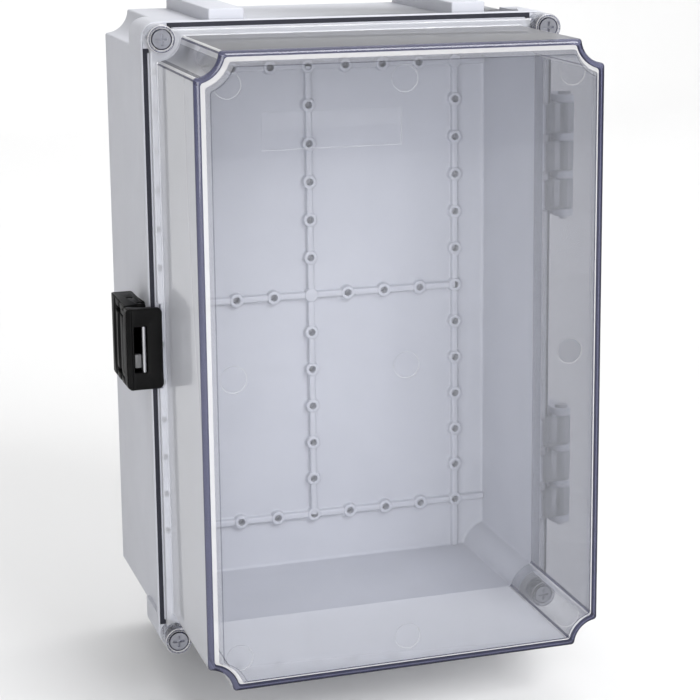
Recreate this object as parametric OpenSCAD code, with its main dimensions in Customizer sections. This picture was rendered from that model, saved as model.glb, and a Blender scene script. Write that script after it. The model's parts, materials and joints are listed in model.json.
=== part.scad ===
// Wall enclosure for a DC combiner: grey base, deep clear hinged cover, side latch.
// X runs to the right seen from the front, +Y runs back to the wall and +Z runs up.
// The origin is the centre of the wall screws, on the wall plane.
// "Depth" always means millimetres in front of the wall plane.

/* [Enclosure] */
// Width of the base, without its rim bead
body_w = 200; // [180:1:260]
// Height of the base, without its rim bead
body_h = 300; // [280:1:400]
// Depth of the base, from the wall to the rim
base_d = 100; // [95:1:120]
// Depth of the whole box
total_d = 180; // [165:1:240]
// Wall thickness of the base
wall_t = 3; // [2.5:0.1:3]
// Radius of the hollow corners of the base
notch_r = 11.5; // [11:0.1:12]
// How far the rim bead stands out from the walls
bead = 1.6; // [1.2:0.1:2]

/* [Back wall] */
// Depth of the open recess behind the back wall
recess_d = 13; // [10:1:14]
// Thickness of the back wall
back_t = 3.5; // [3:0.1:4.5]
// Pitch of the screw bosses
pitch = 20; // [20:1:20]
// Bosses from the centre to the outer columns
col_steps = 4; // [3:1:4]
// Bosses from the centre to the outer rows
row_steps = 6; // [5:1:6]
// Width of the ribs
rib_w = 3.3; // [2:0.1:4]
// Outer radius of a boss
boss_r = 3.6; // [3:0.1:4]
// Radius of a pilot hole for a self-tapping screw
pilot_r = 1.8; // [1.4:0.1:2]

/* [Clear cover] */
// How far the cover's walls stand in from the base's walls
cover_inset = 4.7; // [4.7:0.1:6]
// Wall thickness of the cover
cover_t = 2.8; // [2.5:0.1:3]
// Thickness of the cover's front
front_t = 3; // [2.5:0.1:4]
// Thickness of the flange
flange_t = 4; // [3.5:0.1:4]
// Gap between the rim and the flange
rim_gap = 0.3; // [0.2:0.1:0.4]

/* [Hinges] */
// Height of each hinge above or below the middle
hinge_z = 80; // [70:1:95]
// Distance of the hinge axis from the side wall
hinge_out = 8.5; // [8.5:0.1:9.5]
// Radius of the knuckles
knuckle_r = 4.8; // [4.4:0.1:5]
// Radius of the hinge pins
hinge_pin_r = 2; // [1.6:0.1:2.2]

/* [Latch] */
// Height of the latch
latch_h = 39; // [39:1:46]
// How far the latch stands out from the side wall
latch_out = 14.4; // [14.4:0.1:15]
// Radius of the latch pins
latch_pin_r = 1.5; // [1.2:0.1:1.6]

/* [Wall feet] */
// Distance of the feet from the middle
foot_x = 60; // [50:1:70]
// Height of the wall screws above or below the middle
foot_hole_z = 166; // [164:1:180]
// Radius of the wall screw holes
foot_hole_r = 2.75; // [2.2:0.05:3]

/* [Hidden] */
CORNERS = ["top_left", "top_right", "bottom_left", "bottom_right"];
SIGN_X = [-1, 1, -1, 1];
SIGN_Z = [1, 1, -1, -1];
$fn = 64;

half_w = body_w / 2;
half_h = body_h / 2;
eps = 0.01;

// Rim, gasket and flange
bead_d = 5;
corner_round = 7.5;
ear_back = 70;
groove_out = 1;
groove_in = 1;
groove_depth = 2;
gasket_crush = 0.1;
flange_back = base_d + rim_gap;
flange_front = flange_back + flange_t;
flange_half_w = half_w - 1.6;
flange_half_h = half_h - 1.6;

// Cover walls
cover_w = body_w - 2 * cover_inset;
cover_h = body_h - 2 * cover_inset;
cover_notch_r = notch_r - 0.1;
front_in = total_d - front_t;
mark_r = 6.2;
mark_x = cover_w / 2 - 15;
mark_z = cover_h / 2 - 15;
panel_x = -34.5;
panel_z = 109.8;
panel_w = 63.5;
panel_h = 16.7;
panel_deep = 0.4;

// Back wall
back_front = recess_d + back_t;
rib_top = back_front + 3;
boss_top = back_front + 3.5;
pilot_skin = 1.5;
column_x = col_steps * pitch;
row_z = row_steps * pitch;

// Corner screws
screw_x = half_w - 5.4;
screw_z = half_h - 5.4;
ear_r = 6.6;
ear_front = flange_front + 8.2;
seat_depth = flange_back + 3;
seat_r = 4.9;
insert_r = 2.85;
insert_bore_r = 2.15;
insert_len = 9.5;
shank_r = 1.95;
shank_hole_r = 2.2;
screw_travel = 4.5;
seal_wire_r = 0.65;
screw_head_r = 4.3;
screw_head_h = 3.2;
head_rest = seat_depth + 2 * seal_wire_r + screw_travel;
tip_rest = base_d + 0.6;

// Hinges
hinge_x = half_w + hinge_out;
knuckle_pitch = 19;
knuckle_h = 14.6;
ear_t = 3.8;
bracket_back = 66;
bracket_front = base_d - bead_d - 0.5;
bracket_t = 3;
bracket_half = 1.5 * knuckle_pitch + ear_t / 2;
bracket_screw_d = 76;
bracket_screw_len = 5;
hinge_pad_t = 3;
plate_x = half_w + hinge_pad_t;
hinge_run = 0.06;

// Latch, seen from above: x is minus the distance out, y is minus the depth
latch_half = latch_h / 2;
latch_x = -(half_w + latch_out);
pivot = [-(half_w + 5), -(base_d - 6)];
claw_pivot = pivot + [-2.4, 12.5];
skin_t = 3;
lever_back = base_d - 34;
claw_front = base_d + 8.5;
lever_arc = 9.9;
claw_arc = 10.25;
lip_x = -(half_w - 2.8);
strike_x = -(half_w - 3.1);
cheek_x = -(half_w + 2.2);
claw_cheek_x = cheek_x + 0.3;
arm_swing = 7.5;
lug_z = [11.3, 13.5];
arm_z = [13.9, 16.1];
cheek_z = [16.5, latch_half];
window_x = [latch_x + 3.6, latch_x + 9.8];
window_z = 11;
bar_r = 1.1;
bar_seat = 1.5;
bar_x = window_x[1] - bar_r - 0.3;
slide_x = [latch_x + skin_t + 0.3, latch_x + 10.4];
slide_button = [3, 3, 6.4];
slide_button_z = -8.8;
pin_run = 0.06;
crown_r = 240;
finger_gap = 5.5;
step_rise = 1.2;
step_len = 10.5;
skin_out = -latch_x + pivot[0];
skin_in = skin_out - skin_t;
lever_nose = 5;

// The lever's stepped outer face, from the back to the front
steps_outline = [for (k = [0:2]) each [
    [latch_x + step_rise, -lever_back - k * step_len],
    [latch_x, -lever_back - (k + 1) * step_len + 0.6]
]];

// Wall feet
pad_w = 17;
pad_top = half_h + 6.5;
pad_front = base_d - bead_d - 1;
foot_t = 4;
foot_leg = 26;
foot_top = foot_hole_z + 8;
foot_screw_d = 16;
pad_screw_len = 5;

// ---------- shared shapes ----------

// A slab between two depths, from an outline drawn in X and Z
module slab(back, front) {
    translate([0, -back, 0]) rotate([90, 0, 0]) linear_extrude(front - back) children();
}

// A straight bar along Z, from an outline drawn in X and Y
module post(low, high) {
    translate([0, 0, low]) linear_extrude(high - low) children();
}

// The same piece at +z and at -z
module both_ends() {
    children();
    mirror([0, 0, 1]) children();
}

module at_corners(x, z) {
    for (i = [0:3]) translate([SIGN_X[i] * x, SIGN_Z[i] * z]) children();
}

// A rectangle whose four corners are hollowed by circles about (cx, cz)
module notched(w, h, cx, cz, r) {
    difference() {
        square([w, h], center = true);
        at_corners(cx, cz) circle(r);
    }
}

module rounded(w, h, r) {
    square([w - 2 * r, h], center = true);
    square([w, h - 2 * r], center = true);
    at_corners(w / 2 - r, h / 2 - r) circle(r);
}

// The base's outline, moved outward by "grow"
module base_outline(grow) {
    notched(body_w + 2 * grow, body_h + 2 * grow, half_w, half_h, notch_r - grow);
}

// The cover's outline, moved outward by "grow"
module cover_outline(grow) {
    notched(cover_w + 2 * grow, cover_h + 2 * grow, cover_w / 2, cover_h / 2, cover_notch_r - grow);
}

// ---------- base ----------

// Rectangles at the four corners, which limit the screw ears
module corner_zone() {
    at_corners(half_w - 5, half_h - 5) square(24, center = true);
}

module base_walls() {
    difference() {
        union() {
            slab(0, base_d) base_outline(0);
            slab(base_d - bead_d, base_d) rounded(body_w + 2 * bead, body_h + 2 * bead, corner_round);
            slab(ear_back, base_d) intersection() {
                rounded(body_w + 2 * bead, body_h + 2 * bead, corner_round);
                corner_zone();
            }
        }
        slab(back_front, base_d + 1) base_outline(-wall_t);
        slab(-1, recess_d) base_outline(-wall_t);
        slab(base_d - groove_depth, base_d + 1) difference() {
            base_outline(groove_out);
            base_outline(-groove_in);
        }
    }
}

function is_plain(i, j) = (i == col_steps && j == row_steps) || (i == 0 && j == 0);

module ribs() {
    for (s = [-1, 1]) {
        slab(back_front - 1, rib_top) translate([s * column_x, 0])
            square([rib_w, body_h - wall_t], center = true);
        slab(back_front - 1, rib_top) translate([0, s * row_z])
            square([body_w - wall_t, rib_w], center = true);
    }
    slab(back_front - 1, rib_top) square([rib_w, 2 * row_z], center = true);
    slab(back_front - 1, rib_top) square([2 * column_x, rib_w], center = true);
}

// Every place of a boss: three columns and three rows
module at_bosses(skip_plain) {
    for (i = [-col_steps:col_steps]) {
        for (j = [-row_steps:row_steps]) {
            on_column = i == 0 || abs(i) == col_steps;
            on_row = j == 0 || abs(j) == row_steps;
            if ((on_column || on_row) && !(skip_plain && is_plain(i, j))) {
                translate([i * pitch, j * pitch]) children();
            }
        }
    }
}

// Two lugs on the left wall that hold the latch's pivot pin
module latch_lugs() {
    both_ends() post(lug_z[0], lug_z[1]) difference() {
        union() {
            translate(pivot) circle(4);
            polygon([
                [-half_w + 1, pivot[1] + 12], [-half_w - 1, pivot[1] + 12],
                [pivot[0] - 4, pivot[1] + 1], [pivot[0] - 4, pivot[1]],
                [pivot[0], pivot[1] - 4], [-half_w + 1, pivot[1] - 4]
            ]);
        }
        translate(pivot) circle(latch_pin_r);
    }
}

// Raised pads above and below, where the wall feet are screwed on
module foot_pads() {
    for (s = [-1, 1]) {
        both_ends() difference() {
            translate([s * foot_x - pad_w / 2, -pad_front, half_h - 1])
                cube([pad_w, pad_front, pad_top - half_h + 1]);
            translate([s * foot_x, -foot_screw_d, pad_top - pad_screw_len])
                cylinder(r = 1.6, h = pad_screw_len + 1);
        }
    }
}

// Thickened places on the right wall, where the hinge brackets are screwed on
module hinge_pads() {
    for (s = [-1, 1]) {
        translate([half_w - 1, -bracket_front, s * hinge_z - bracket_half])
            cube([hinge_pad_t + 1, bracket_front - bracket_back, 2 * bracket_half]);
    }
}

module base_shell() {
    color([0.72, 0.73, 0.77]) difference() {
        union() {
            base_walls();
            hinge_pads();
            ribs();
            slab(back_front - 1, boss_top) at_bosses(false) circle(boss_r, $fn = 32);
            latch_lugs();
            foot_pads();
        }
        slab(recess_d + pilot_skin, boss_top + 1) at_bosses(true) circle(pilot_r, $fn = 24);
        slab(base_d - insert_len - 0.5, base_d + 1) at_corners(screw_x, screw_z) circle(insert_r);
        for (s = [-1, 1]) for (k = [-1, 1]) {
            translate([plate_x - bracket_screw_len, -bracket_screw_d, s * hinge_z + k * knuckle_pitch])
                rotate([0, 90, 0])
                cylinder(r = 1.5, h = bracket_screw_len + 1);
        }
    }
}

// A black seal in the rim's groove
module rim_gasket() {
    color([0.06, 0.06, 0.09]) slab(base_d - groove_depth, base_d + rim_gap - gasket_crush) difference() {
        base_outline(groove_out);
        base_outline(-groove_in);
    }
}

// Four brass inserts, pressed into the rim's screw ears
module corner_inserts() {
    color([0.78, 0.64, 0.36]) slab(base_d - insert_len - 0.5, base_d - 0.5)
        at_corners(screw_x, screw_z) difference() {
        circle(insert_r);
        circle(insert_bore_r);
    }
}

// ---------- wall feet ----------

// An angle that stands on a pad, with a hole for the wall screw
module wall_foot(i) {
    color([0.70, 0.71, 0.75]) scale([SIGN_X[i], 1, SIGN_Z[i]]) difference() {
        union() {
            translate([foot_x - pad_w / 2, -foot_leg, pad_top]) cube([pad_w, foot_leg, foot_t]);
            slab(0, foot_t) translate([foot_x, 0]) union() {
                translate([-pad_w / 2, pad_top]) square([pad_w, foot_hole_z - pad_top]);
                translate([0, foot_hole_z]) circle(pad_w / 2);
            }
        }
        slab(-1, foot_t + 1) translate([foot_x, foot_hole_z]) circle(foot_hole_r);
        translate([foot_x, -foot_screw_d, pad_top - 1]) cylinder(r = 1.8, h = foot_t + 2);
    }
}

// Four screws that hold the feet to the pads
module foot_screws() {
    color([0.75, 0.76, 0.78]) for (i = [0:3]) scale([SIGN_X[i], 1, SIGN_Z[i]])
        translate([foot_x, -foot_screw_d, 0]) difference() {
            union() {
                translate([0, 0, pad_top - pad_screw_len + 0.5])
                    cylinder(r = 1.6, h = pad_screw_len + foot_t - 0.5);
                translate([0, 0, pad_top + foot_t]) cylinder(r1 = 3.4, r2 = 2.6, h = 2);
            }
            translate([-0.4, -2.2, pad_top + foot_t + 1]) cube([0.8, 4.4, 2]);
            translate([-2.2, -0.4, pad_top + foot_t + 1]) cube([4.4, 0.8, 2]);
        }
}

// ---------- hinges ----------

// Seen from above: an ear that reaches from the side wall round the bead to the hinge axis
module hinge_ear_outline() {
    difference() {
        union() {
            translate([hinge_x, -base_d]) circle(knuckle_r);
            polygon([
                [plate_x, -bracket_back - 4], [plate_x + bracket_t, -bracket_back - 4],
                [hinge_x + knuckle_r, -base_d + 4], [hinge_x + knuckle_r, -base_d],
                [hinge_x - knuckle_r, -base_d], [hinge_x - knuckle_r, -bracket_front],
                [plate_x, -bracket_front]
            ]);
        }
        translate([hinge_x, -base_d]) circle(hinge_pin_r);
    }
}

module hinge_bracket(z) {
    color([0.68, 0.69, 0.73]) translate([0, 0, z]) difference() {
        union() {
            translate([plate_x, -bracket_front, -bracket_half])
                cube([bracket_t, bracket_front - bracket_back, 2 * bracket_half]);
            for (k = [-1.5, -0.5, 0.5, 1.5]) {
                post(k * knuckle_pitch - ear_t / 2, k * knuckle_pitch + ear_t / 2) hinge_ear_outline();
            }
        }
        for (k = [-1, 1]) translate([plate_x - 1, -bracket_screw_d, k * knuckle_pitch]) rotate([0, 90, 0])
            cylinder(r = 1.7, h = bracket_t + 2);
    }
}

// Four self-tapping screws that hold the hinge brackets
module hinge_bracket_screws() {
    color([0.75, 0.76, 0.78]) for (s = [-1, 1]) for (k = [-1, 1])
        translate([plate_x, -bracket_screw_d, s * hinge_z + k * knuckle_pitch]) rotate([0, 90, 0]) {
            translate([0, 0, 0.4 - bracket_screw_len])
                cylinder(r = 1.5, h = bracket_screw_len - 0.4 + bracket_t);
            difference() {
                translate([0, 0, bracket_t]) cylinder(r1 = 3.2, r2 = 2.4, h = 2);
                translate([-2, -0.4, bracket_t + 1]) cube([4, 0.8, 2]);
                translate([-0.4, -2, bracket_t + 1]) cube([0.8, 4, 2]);
            }
        }
}

module hinge_pin(z) {
    color([0.78, 0.79, 0.81]) translate([hinge_x, -base_d, z]) {
        translate([0, 0, -bracket_half - 1.5]) cylinder(r = hinge_pin_r, h = 2 * bracket_half + 1.5);
        translate([0, 0, bracket_half]) cylinder(r = 3.2, h = 1.6);
    }
}

// ---------- clear cover ----------

// Flange with a screw ear at each corner, cut back beside the latch
module cover_flange() {
    difference() {
        union() {
            slab(flange_back, flange_front) rounded(2 * flange_half_w, 2 * flange_half_h, 6);
            slab(flange_back, ear_front) at_corners(screw_x, screw_z) circle(ear_r);
        }
        slab(flange_back - 1, flange_front + 1) cover_outline(-cover_t);
        translate([-half_w - 5, -flange_front - 1, -latch_half - 0.9])
            cube([strike_x + half_w + 5, flange_t + 2, latch_h + 1.8]);
        slab(flange_back - 1, ear_front + 1) at_corners(screw_x, screw_z) circle(shank_hole_r);
        slab(seat_depth, ear_front + 1) at_corners(screw_x, screw_z) circle(seat_r);
    }
}

// Walls and front, with ejector marks inside and a blank panel outside
module cover_body() {
    difference() {
        slab(flange_back, total_d) cover_outline(0);
        slab(flange_back - 1, front_in) cover_outline(-cover_t);
        slab(total_d - panel_deep, total_d + 1) translate([panel_x, panel_z])
            square([panel_w, panel_h], center = true);
    }
    slab(front_in - 0.3, front_in + 1) for (i = [-1:1]) for (j = [-1:1])
        translate([i * mark_x, j * mark_z]) circle(mark_r);
}

// Three knuckles that turn on a hinge pin between the bracket's ears
module cover_knuckles(z) {
    for (k = [-1:1]) {
        post(z + k * knuckle_pitch - knuckle_h / 2, z + k * knuckle_pitch + knuckle_h / 2) difference() {
            union() {
                translate([hinge_x, -base_d]) circle(knuckle_r);
                polygon([
                    [flange_half_w - 2, -flange_back], [hinge_x, -flange_back],
                    [hinge_x, -base_d - knuckle_r], [flange_half_w, -flange_front - 1.5],
                    [cover_w / 2 - 1, -flange_front - 6], [cover_w / 2 - 1, -flange_back - 1]
                ]);
            }
            translate([hinge_x, -base_d]) circle(hinge_pin_r + hinge_run);
        }
    }
}

module clear_cover() {
    color([0.86, 0.88, 0.92, 0.35]) {
        cover_flange();
        cover_body();
        cover_knuckles(hinge_z);
        cover_knuckles(-hinge_z);
        // pad beside the latch's lip
        translate([-cover_w / 2 - 1.2, -flange_front - 14, -latch_half + 1]) cube([2.2, 14.5, latch_h - 2]);
    }
}

// ---------- cover screws ----------

// A screw backed off to its captive place
module cover_screw(i) {
    color([0.62, 0.63, 0.66]) translate([SIGN_X[i] * screw_x, 0, SIGN_Z[i] * screw_z]) {
        slab(tip_rest, head_rest + eps) circle(shank_r);
        difference() {
            slab(head_rest, head_rest + screw_head_h) circle(screw_head_r);
            slab(head_rest + 1.6, head_rest + screw_head_h + 1) square([1.2, 5.6], center = true);
            slab(head_rest + 1.6, head_rest + screw_head_h + 1) square([5.6, 1.2], center = true);
        }
    }
}

// A ring under the head that seals the screw and keeps it in the cover
module screw_seal(i) {
    color([0.08, 0.08, 0.09])
        translate([SIGN_X[i] * screw_x, -(head_rest - seal_wire_r), SIGN_Z[i] * screw_z])
        rotate([90, 0, 0]) rotate_extrude() translate([shank_r + seal_wire_r, 0])
            circle(seal_wire_r, $fn = 24);
}

// ---------- latch ----------

// A point of the latch, from its distance beyond the pivot: outward and forward
function from_pivot(outward, forward) = pivot + [-outward, -forward];

// Points on a circle about the pivot, from one outward distance to another
function arc_points(r, out_from, out_to, steps) =
    [for (k = [0:steps]) let (o = out_from + (out_to - out_from) * k / steps)
        from_pivot(o, sqrt(r * r - o * o))];

module lever_skin_outline() {
    polygon(concat(
        steps_outline,
        arc_points(lever_arc, skin_out, sqrt(lever_arc * lever_arc - lever_nose * lever_nose), 4),
        [from_pivot(skin_in, lever_nose), [latch_x + skin_t, -lever_back]]
    ));
}

module lever_cheek_outline() {
    difference() {
        union() {
            lever_skin_outline();
            translate(pivot) circle(2.8);
            polygon([
                [latch_x + step_rise, -lever_back], [cheek_x, -lever_back], [cheek_x, pivot[1] + 0.5],
                from_pivot(1.5, 2.2), from_pivot(skin_in, lever_nose), from_pivot(skin_in + 1, lever_nose),
                [latch_x + step_rise, -lever_back - 2.5 * step_len]
            ]);
        }
        translate(pivot) circle(latch_pin_r + pin_run);
        translate(claw_pivot) circle(latch_pin_r);
    }
}

// A slot in the lever's skin, open at the nose, where an arm of the claw swings out
module arm_slot_outline() {
    translate([latch_x - 1, pivot[1] - lever_arc])
        square([skin_t + 1.5, claw_pivot[1] - pivot[1] + lever_arc + 3.8]);
}

// Gives an outer face its slight bulge
module crowned() {
    intersection() {
        children();
        translate([latch_x + crown_r, -lever_back + 5, 0]) rotate([90, 0, 0])
            cylinder(r = crown_r, h = claw_front - lever_back + 10, $fn = 256);
    }
}

// The lever with its stepped grip: its rear end swings out
module latch_lever() {
    color([0.10, 0.10, 0.105]) crowned() union() {
        difference() {
            post(-latch_half + 1, latch_half - 1) lever_skin_outline();
            both_ends() post(lug_z[1], cheek_z[0]) arm_slot_outline();
        }
        both_ends() post(cheek_z[0], cheek_z[1]) lever_cheek_outline();
        translate([latch_x + step_rise, -lever_back - 2.5, -latch_half + 1])
            cube([latch_out - step_rise - finger_gap, 2.5, latch_h - 2]);
    }
}

module claw_shell_outline() {
    polygon(concat(
        [[latch_x, -claw_front], [claw_cheek_x, -claw_front]],
        arc_points(claw_arc, pivot[0] - claw_cheek_x, skin_out, 12)
    ));
}

// An arm of the claw: outside the lever's slot its outer edge runs level with the lever's face
module claw_arm_outline() {
    difference() {
        union() {
            translate(claw_pivot) circle(3.2);
            polygon([
                claw_pivot + [-2.6, -1.6], [latch_x + step_rise, claw_pivot[1] - arm_swing],
                [latch_x + step_rise, -claw_front + 1], [latch_x + skin_t + 2.4, -claw_front + 1],
                [latch_x + skin_t + 2.4, claw_pivot[1] - 6], claw_pivot + [1.5, -2.5], claw_pivot
            ]);
        }
        translate(claw_pivot) circle(latch_pin_r + pin_run);
    }
}

// The claw that holds the cover: it turns on the lever's second pin
module latch_claw() {
    color([0.09, 0.09, 0.095]) crowned() difference() {
        union() {
            both_ends() post(cheek_z[0], cheek_z[1]) claw_shell_outline();
            both_ends() post(arm_z[0], arm_z[1]) claw_arm_outline();
            // guide rail of the lock slide
            translate([slide_x[1] + 0.3, -claw_front + 1, -window_z - 2])
                cube([1.2, skin_t + 1, 2 * window_z + 4]);
            translate([latch_x, -claw_front, -latch_half]) cube([lip_x - latch_x, skin_t, latch_h]);
            post(-latch_half, latch_half) intersection() {
                claw_shell_outline();
                translate([latch_x, -claw_front]) square([skin_t, 20]);
            }
        }
        translate([window_x[0], -claw_front - 1, -window_z])
            cube([window_x[1] - window_x[0], skin_t + 2, 2 * window_z]);
        window_bar();
    }
}

module window_bar() {
    translate([bar_x, -claw_front + skin_t / 2, -window_z - bar_seat])
        cylinder(r = bar_r, h = 2 * (window_z + bar_seat));
}

// A steel bar across the claw's window, pressed into the plate above and below it
module latch_window_bar() {
    color([0.80, 0.81, 0.83]) window_bar();
}

module latch_pivot_pin() {
    color([0.80, 0.81, 0.83]) translate(pivot) translate([0, 0, -latch_half + 0.6])
        cylinder(r = latch_pin_r, h = latch_h - 1.2);
}

module latch_claw_pin() {
    color([0.80, 0.81, 0.83]) translate(claw_pivot) translate([0, 0, -latch_half + 0.6])
        cylinder(r = latch_pin_r, h = latch_h - 1.2);
}

// A small slide in the claw's window, pushed up to lock the latch
module latch_lock_slide() {
    color([0.24, 0.24, 0.25]) {
        translate([slide_x[0], -claw_front + skin_t + 0.2, -window_z - 1.5])
            cube([slide_x[1] - slide_x[0], 1.6, 12]);
        translate([window_x[0] + 0.3, -claw_front + 1, slide_button_z]) cube(slide_button);
    }
}

base_shell();
rim_gasket();
corner_inserts();
for (i = [0:3]) {
    wall_foot(i);
    cover_screw(i);
    screw_seal(i);
}
foot_screws();
hinge_bracket(hinge_z);  // hinge_bracket_upper
hinge_bracket(-hinge_z);  // hinge_bracket_lower
hinge_bracket_screws();
hinge_pin(hinge_z);  // hinge_pin_upper
hinge_pin(-hinge_z);  // hinge_pin_lower
clear_cover();
latch_pivot_pin();
latch_lever();
latch_claw_pin();
latch_claw();
latch_window_bar();
latch_lock_slide();
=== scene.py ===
"""Looks of a clear-cover wall enclosure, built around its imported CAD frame.

Metres, X right, Y back to the wall, Z up. Depths are distances in front of the wall plane, so y = -depth.
"""

import json
import math

import bmesh
import bpy
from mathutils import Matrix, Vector


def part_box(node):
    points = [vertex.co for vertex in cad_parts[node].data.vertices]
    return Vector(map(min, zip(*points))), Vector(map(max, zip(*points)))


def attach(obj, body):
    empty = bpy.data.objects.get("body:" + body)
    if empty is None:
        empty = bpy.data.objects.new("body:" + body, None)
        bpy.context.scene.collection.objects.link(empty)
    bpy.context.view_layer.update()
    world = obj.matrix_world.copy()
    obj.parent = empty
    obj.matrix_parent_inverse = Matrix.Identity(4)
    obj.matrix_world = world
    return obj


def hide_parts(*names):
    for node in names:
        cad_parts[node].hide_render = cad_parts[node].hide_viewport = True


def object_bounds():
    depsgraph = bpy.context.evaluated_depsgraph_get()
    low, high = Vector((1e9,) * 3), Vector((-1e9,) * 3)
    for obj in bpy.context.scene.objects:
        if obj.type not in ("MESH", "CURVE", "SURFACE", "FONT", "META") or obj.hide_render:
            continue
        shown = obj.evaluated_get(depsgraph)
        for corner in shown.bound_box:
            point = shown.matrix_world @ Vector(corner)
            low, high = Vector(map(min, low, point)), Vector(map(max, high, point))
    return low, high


MM = 0.001

# How far cutters and joined pieces run past the faces they meet.
OVERLAP = 1 * MM

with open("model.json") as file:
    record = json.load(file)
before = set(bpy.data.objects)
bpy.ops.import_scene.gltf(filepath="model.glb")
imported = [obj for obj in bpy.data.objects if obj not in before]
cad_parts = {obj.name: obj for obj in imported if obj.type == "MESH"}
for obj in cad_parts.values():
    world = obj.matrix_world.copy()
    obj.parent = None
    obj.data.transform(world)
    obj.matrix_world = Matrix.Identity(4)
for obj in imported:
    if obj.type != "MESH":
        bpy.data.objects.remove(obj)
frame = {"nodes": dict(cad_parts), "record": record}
cad_low, cad_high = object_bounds()


# ---------- places read from the frame ----------

gasket_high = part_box("rim_gasket")[1]
cover_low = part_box("clear_cover")[0]
screw_low, screw_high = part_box("cover_screw_top_right")
insert_low, insert_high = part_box("corner_inserts")

GROOVE_OUT = 1 * MM
HALF_W = gasket_high.x - GROOVE_OUT
HALF_H = gasket_high.z - GROOVE_OUT
RIM = -insert_low.y + 0.5 * MM
FRONT = -cover_low.y
NOTCH_R = 11.5 * MM
WALL_T = 3 * MM
BEAD = 1.6 * MM
SCREW_X = (screw_low.x + screw_high.x) / 2
SCREW_Z = (screw_low.z + screw_high.z) / 2
CORNERS = [(1, 1), (-1, 1), (-1, -1), (1, -1)]


# ---------- materials ----------


def new_material(name):
    """A material with an empty node tree, and its output."""
    material = bpy.data.materials.new(name)
    material.use_nodes = True
    tree = material.node_tree
    tree.nodes.clear()
    return material, tree, tree.nodes.new("ShaderNodeOutputMaterial")


def add(tree, kind, **values):
    """A new node. A value named like a socket goes to that socket, and the rest are the node's settings."""
    made = tree.nodes.new(kind)
    for name, value in values.items():
        if name in made.inputs:
            made.inputs[name].default_value = value
        else:
            setattr(made, name, value)
    return made


def ramp(tree, source, stops):
    """A colour ramp over a value, from (position, colour) stops."""
    made = tree.nodes.new("ShaderNodeValToRGB")
    while len(made.color_ramp.elements) < len(stops):
        made.color_ramp.elements.new(0.5)
    for element, (place, colour) in zip(made.color_ramp.elements, stops):
        element.position = place
        element.color = (*colour, 1)
    tree.links.new(source, made.inputs["Fac"])
    return made.outputs["Color"]


def noise(tree, scale, detail=2.0, rough=0.5, stretch=(1, 1, 1)):
    """Noise in metres on the piece's own coordinates: scale is how many grains fit in a metre."""
    place = add(tree, "ShaderNodeTexCoord")
    mapping = add(tree, "ShaderNodeMapping", Scale=stretch)
    made = add(tree, "ShaderNodeTexNoise", Scale=scale, Detail=detail, Roughness=rough)
    tree.links.new(place.outputs["Object"], mapping.inputs["Vector"])
    tree.links.new(mapping.outputs["Vector"], made.inputs["Vector"])
    return made.outputs["Fac"]


def bump(tree, height, strength, distance):
    """A normal from a 0 to 1 height, which distance turns into metres."""
    made = add(tree, "ShaderNodeBump", Strength=strength, Distance=distance)
    tree.links.new(height, made.inputs["Height"])
    return made.outputs["Normal"]


def spread(tree, source, low, high, start=0.0, end=1.0):
    """A value of start to end mapped onto low to high, and held there beyond."""
    made = add(tree, "ShaderNodeMapRange")
    made.inputs["From Min"].default_value = start
    made.inputs["From Max"].default_value = end
    made.inputs["To Min"].default_value = low
    made.inputs["To Max"].default_value = high
    tree.links.new(source, made.inputs["Value"])
    return made.outputs["Result"]


def opaque(name, dark, light, rough, grain, depth, metallic=0.0, stretch=(1, 1, 1), sheen=0.0, shine=0.5):
    """A plain solid finish: two close colours in broad clouds, with fine grain in roughness and surface."""
    material, tree, out = new_material(name)
    shader = add(tree, "ShaderNodeBsdfPrincipled", Metallic=metallic)
    shader.inputs["Specular IOR Level"].default_value = shine
    shader.inputs["Sheen Weight"].default_value = sheen
    clouds = noise(tree, 35, 4.0, 0.6)
    fine = noise(tree, grain, 3.0, 0.55, stretch)
    tree.links.new(ramp(tree, clouds, [(0.3, dark), (0.7, light)]), shader.inputs["Base Color"])
    tree.links.new(spread(tree, fine, *rough), shader.inputs["Roughness"])
    tree.links.new(bump(tree, fine, 0.35, depth), shader.inputs["Normal"])
    tree.links.new(shader.outputs["BSDF"], out.inputs["Surface"])
    return material


POLYCARBONATE_IOR = 1.58
GRAZING_POWER = 5.0


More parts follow.
